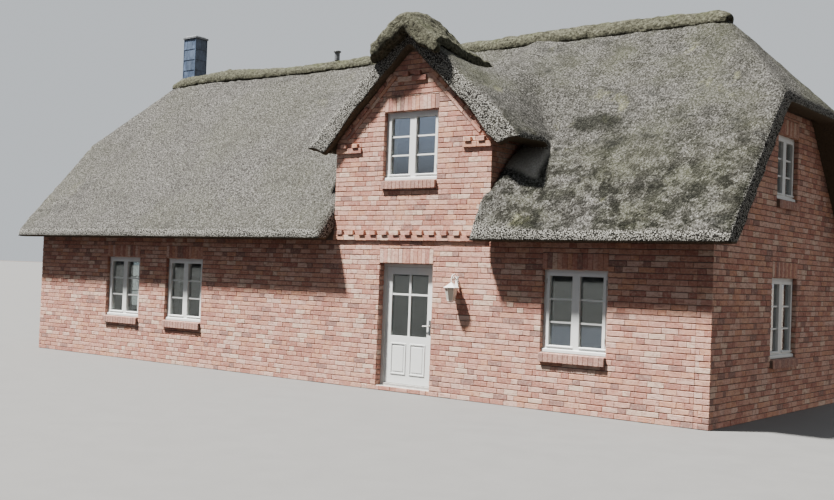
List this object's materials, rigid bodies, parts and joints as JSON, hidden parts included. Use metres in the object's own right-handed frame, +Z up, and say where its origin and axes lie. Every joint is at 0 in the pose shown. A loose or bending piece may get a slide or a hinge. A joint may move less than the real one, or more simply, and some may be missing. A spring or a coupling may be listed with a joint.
{
  "type": "thatched cottage",
  "caption": "Low brick cottage with a steep half-hipped thatched roof, a gabled dormer over its front door, casement windows and a hinged door.",
  "frame": {"origin": "middle of the footprint at ground level, under the middle of the ridge", "axes": "+X along the front to the right, +Y from the front to the back, +Z up"},
  "size_m": [16.6, 6.34, 7.575],
  "materials": {
    "brick": "rough red-brown facing brick in grey mortar",
    "thatch": "weathered grey reed thatch",
    "ridge_sod": "heather and sod ridge, grey-green",
    "white_paint": "white painted wood, satin",
    "clear_glass": "clear window glass",
    "floor_boards": "plain boards",
    "stone_floor": "grey stone and screed",
    "door_metal": "satin",
    "slate": "blue-grey slates",
    "dark_metal": "dark coated metal",
    "zinc": "dull sheet zinc"
  },
  "bodies": {
    "house": {"front_wall_left": "brick", "front_wall_right": "brick", "gable_wall": "brick", "back_wall": "brick", "left_end_wall": "brick", "right_end_wall": "brick", "dormer_cheek_left": "brick", "dormer_cheek_right": "brick", "chimney_shaft": "brick", "front_thatch_left": "thatch", "front_thatch_right": "thatch", "front_thatch_over_dormer": "thatch", "back_thatch": "thatch", "left_hip_thatch": "thatch", "right_hip_thatch": "thatch", "dormer_thatch_left": "thatch", "dormer_thatch_right": "thatch", "ridge_cover": "ridge_sod", "dormer_ridge_cover": "ridge_sod", "door_frame": "white_paint", "lantern_bracket": "white_paint", "lantern_hood": "white_paint", "lantern_foot": "white_paint", "front_window_left": "white_paint", "front_window_centre": "white_paint", "front_window_right": "white_paint", "gable_window": "white_paint", "back_window_1": "white_paint", "back_window_2": "white_paint", "back_window_3": "white_paint", "left_end_window": "white_paint", "left_end_upper_window": "white_paint", "right_end_window": "white_paint", "right_end_upper_window": "white_paint", "lantern_glass": "clear_glass", "front_window_left_glass": "clear_glass", "front_window_centre_glass": "clear_glass", "front_window_right_glass": "clear_glass", "gable_window_glass": "clear_glass", "back_window_1_glass": "clear_glass", "back_window_2_glass": "clear_glass", "back_window_3_glass": "clear_glass", "left_end_window_glass": "clear_glass", "left_end_upper_window_glass": "clear_glass", "right_end_window_glass": "clear_glass", "right_end_upper_window_glass": "clear_glass", "upper_floor": "floor_boards", "ground_floor": "stone_floor", "door_threshold": "stone_floor", "chimney_slates": "slate", "chimney_cap": "dark_metal", "vent_pipe": "dark_metal", "chimney_cover": "zinc"},
    "front_door": {"door_leaf": "white_paint", "door_glass": "clear_glass", "door_handle_outside": "door_metal", "door_handle_inside": "door_metal"}
  },
  "joints": [
    {"name": "front_door_hinge", "type": "hinge", "parent": "house", "child": "front_door", "pos_m": [2.1175, -2.561, 0], "axis": [0, 0, 1], "range_deg": [0, 95]}
  ]
}
